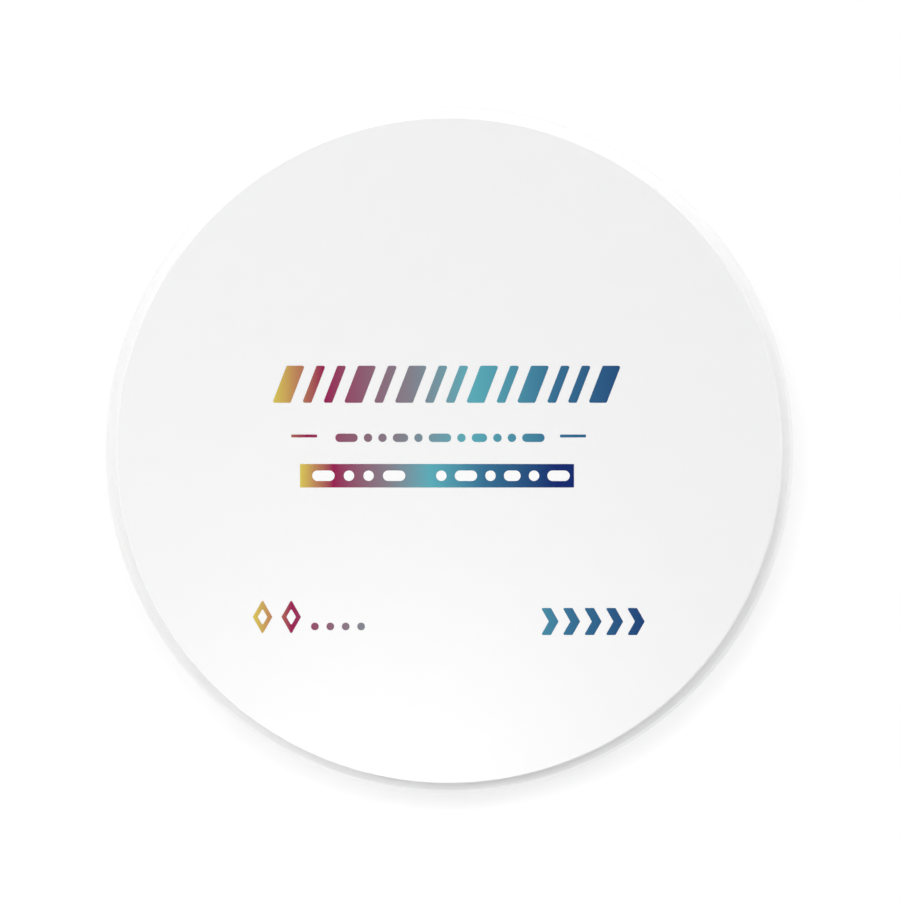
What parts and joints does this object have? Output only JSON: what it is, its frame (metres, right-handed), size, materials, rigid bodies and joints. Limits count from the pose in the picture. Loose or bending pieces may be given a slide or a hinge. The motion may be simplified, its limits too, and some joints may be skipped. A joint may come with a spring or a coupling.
{
  "type": "dental milling disc",
  "caption": "Round pre-sintered ceramic blank with a wider clamping flange at mid height, milled into dental crowns and bridges.",
  "frame": {"origin": "centre of the back face, which is the face the disc lies on", "axes": "+Z along the turned axis, out of the front face; +Y towards the top of the print on the front face; +X to its right"},
  "size_m": [0.0985, 0.0985, 0.03],
  "materials": {
    "pre_sintered_ceramic": "chalk white, dull, machined"
  },
  "bodies": {
    "root": {"milling_blank": "pre_sintered_ceramic"}
  },
  "joints": []
}
